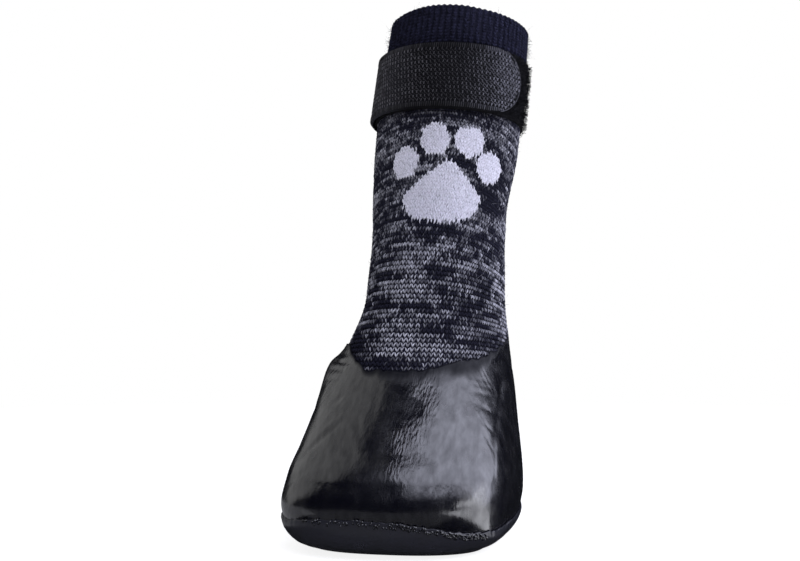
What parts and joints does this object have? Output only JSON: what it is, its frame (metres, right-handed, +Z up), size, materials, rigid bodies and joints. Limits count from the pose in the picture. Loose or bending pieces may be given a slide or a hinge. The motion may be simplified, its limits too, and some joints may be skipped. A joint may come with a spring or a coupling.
{
  "type": "dog sock",
  "caption": "Knitted dog sock with a closed foot dipped in black rubber, a flat rubber sole, a paw knitted into the leg, a ribbed cuff and a hook-and-loop strap.",
  "frame": {"origin": "on the floor, under the middle of the sock's overall box", "axes": "+Z up from the sole, toe towards -Y, +X across the foot"},
  "size_m": [0.0637, 0.1204, 0.1581],
  "materials": {
    "knit": "navy-black and grey space-dyed stocking-stitch knit with a white paw and a ribbed navy cuff",
    "dip": "glossy dipped rubber with the knit's grain showing through",
    "sole": "smooth semi-gloss rubber",
    "loop_tape": "black loop pile",
    "hook_tape": "charcoal woven tape back with fine selvedges"
  },
  "bodies": {
    "root": {"knit_sock": "knit", "rubber_foot": "dip", "sole": "sole", "strap_band": "loop_tape", "strap_tab": "hook_tape"}
  },
  "joints": []
}
